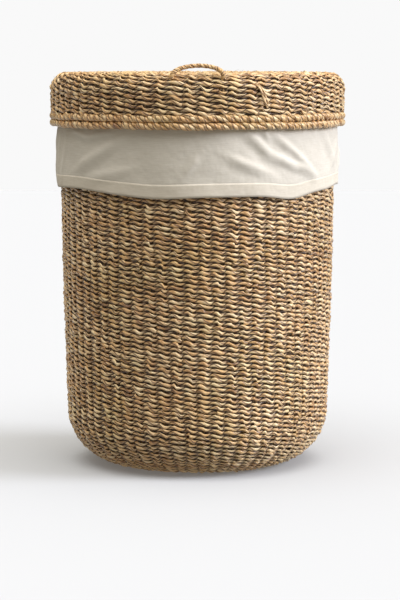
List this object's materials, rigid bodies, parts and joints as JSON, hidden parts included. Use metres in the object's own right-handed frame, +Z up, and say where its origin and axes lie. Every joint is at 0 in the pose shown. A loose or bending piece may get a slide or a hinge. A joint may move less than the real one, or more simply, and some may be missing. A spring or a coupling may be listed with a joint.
{
  "type": "laundry basket",
  "caption": "Round woven hamper with a rounded base, a washable cloth liner turned down over the rim, and a deep lift-off cap lid with a small rope loop at the front.",
  "frame": {"origin": "centre of the underside of the base, on the surface the basket stands on", "axes": "+Z up; -Y is the front, where the lid has its rope loop; +X is the basket's left as seen from behind, the right as seen from the front"},
  "size_m": [0.4014, 0.4002, 0.5439],
  "materials": {
    "basket_weave": "plain weave of twisted dried seagrass strand, straw to brown, matt with a faint sheen",
    "lid_weave": "the same twisted seagrass strand, plain weave",
    "rope_border": "thicker twisted seagrass rope, matt",
    "loop_rope": "thin two-ply twisted seagrass rope",
    "rod_frame": "peeled rattan rods bound to a hoop, hidden in the weave",
    "liner_cotton": "unbleached plain-weave cotton, soft creases",
    "liner_hem_cotton": "the same cotton turned up and stitched"
  },
  "bodies": {
    "basket": {"base_weave": "basket_weave", "long_stake_01": "rod_frame", "long_stake_02": "rod_frame", "long_stake_03": "rod_frame", "long_stake_04": "rod_frame", "long_stake_05": "rod_frame", "long_stake_06": "rod_frame", "long_stake_07": "rod_frame", "long_stake_08": "rod_frame", "long_stake_09": "rod_frame", "long_stake_10": "rod_frame", "long_stake_11": "rod_frame", "long_stake_12": "rod_frame", "long_stake_13": "rod_frame", "long_stake_14": "rod_frame", "long_stake_15": "rod_frame", "long_stake_16": "rod_frame", "long_stake_17": "rod_frame", "long_stake_18": "rod_frame", "long_stake_19": "rod_frame", "long_stake_20": "rod_frame", "long_stake_21": "rod_frame", "rim_border": "rope_border", "side_stakes_and_hoop": "rod_frame", "wall_weave": "basket_weave"},
    "liner": {"liner_base": "liner_cotton", "liner_hem": "liner_hem_cotton", "liner_side_seam": "liner_cotton", "liner_tube": "liner_cotton"},
    "lid": {"handle_tail_left": "loop_rope", "handle_tail_right": "loop_rope", "lid_border_lower": "rope_border", "lid_border_upper": "rope_border", "lid_skirt_weave": "lid_weave", "lid_spokes_and_hoop": "rod_frame", "lid_top_weave": "lid_weave"},
    "handle": {"handle_loop": "loop_rope"}
  },
  "joints": [
    {"name": "liner_lift", "type": "slide", "parent": "basket", "child": "liner", "axis": [0, 0, 1], "range_m": [0, 0.53]},
    {"name": "lid_lift", "type": "slide", "parent": "liner", "child": "lid", "axis": [0, 0, 1], "range_m": [0, 0.3]},
    {"name": "handle_flex", "type": "hinge", "parent": "lid", "child": "handle", "pos_m": [0, -0.1922, 0.52749], "axis": [1, 0, 0], "range_deg": [-30, 45], "stiffness_Nm_per_rad": 0.02}
  ]
}
